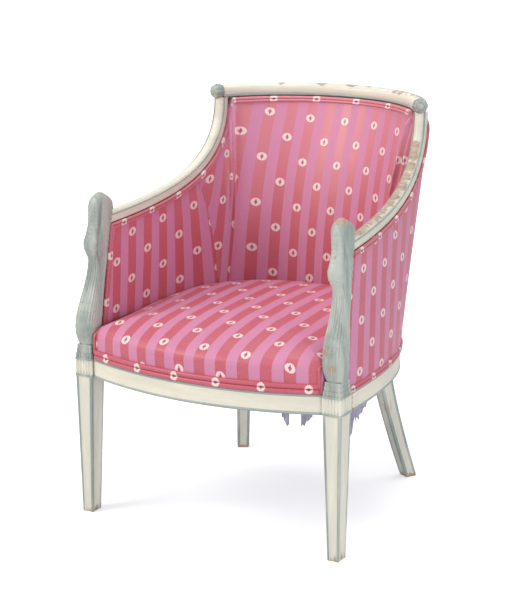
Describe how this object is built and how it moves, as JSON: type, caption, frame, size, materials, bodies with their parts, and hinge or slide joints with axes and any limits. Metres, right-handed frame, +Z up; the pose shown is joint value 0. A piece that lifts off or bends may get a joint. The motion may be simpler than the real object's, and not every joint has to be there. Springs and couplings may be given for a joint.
{
  "type": "bergere chair",
  "caption": "Closed-arm tub chair with a curved back, carved swan arm supports, painted frame and sprung, striped silk upholstery.",
  "frame": {"origin": "middle of the chair's plan, on the floor", "axes": "+Z up, -Y to the chair's front, +X to the sitter's left"},
  "size_m": [0.6482, 0.7425, 0.8975],
  "materials": {
    "painted_cream_wood": "worn cream paint, satin",
    "painted_grey_green_wood": "rubbed grey-green paint, satin",
    "raw_beech": "bare beech",
    "steel": "plain steel",
    "coral_welt_silk": "silk over cord",
    "striped_silk": "striped silk with small wreaths",
    "linen_and_hair": "linen webbing, canvas and hair padding",
    "lilac_cotton": "thin worn cotton"
  },
  "bodies": {
    "root": {"front_leg_left": "painted_cream_wood", "front_leg_right": "painted_cream_wood", "rear_leg_left": "painted_cream_wood", "rear_leg_right": "painted_cream_wood", "front_seat_rail": "painted_cream_wood", "side_seat_rail_left": "painted_cream_wood", "side_seat_rail_right": "painted_cream_wood", "back_seat_rail": "painted_cream_wood", "swan_support_left": "painted_grey_green_wood", "swan_support_right": "painted_grey_green_wood", "arm_rail_left": "painted_cream_wood", "arm_rail_right": "painted_cream_wood", "crest_rail": "painted_cream_wood", "crest_knob_left": "painted_grey_green_wood", "crest_knob_right": "painted_grey_green_wood", "joint_dowels": "raw_beech", "corner_blocks": "raw_beech", "frame_screws": "steel", "back_stuffing_rail": "raw_beech", "arm_stuffing_rail_left": "raw_beech", "arm_stuffing_rail_right": "raw_beech", "seat_webbing": "linen_and_hair", "seat_springs": "steel", "spring_hessian": "linen_and_hair", "seat_stuffing": "linen_and_hair", "seat_cover": "striped_silk", "back_webbing": "linen_and_hair", "back_hessian": "linen_and_hair", "arm_hessian_left": "linen_and_hair", "arm_hessian_right": "linen_and_hair", "back_stuffing": "linen_and_hair", "arm_stuffing_left": "linen_and_hair", "arm_stuffing_right": "linen_and_hair", "inside_back_cover": "striped_silk", "inside_arm_cover_left": "striped_silk", "inside_arm_cover_right": "striped_silk", "outside_back_cover": "striped_silk", "outside_arm_cover_left": "striped_silk", "outside_arm_cover_right": "striped_silk", "seat_front_welt": "coral_welt_silk", "inside_welt": "coral_welt_silk", "outside_welt": "coral_welt_silk", "base_welt": "coral_welt_silk", "dust_cover": "lilac_cotton"}
  },
  "joints": []
}
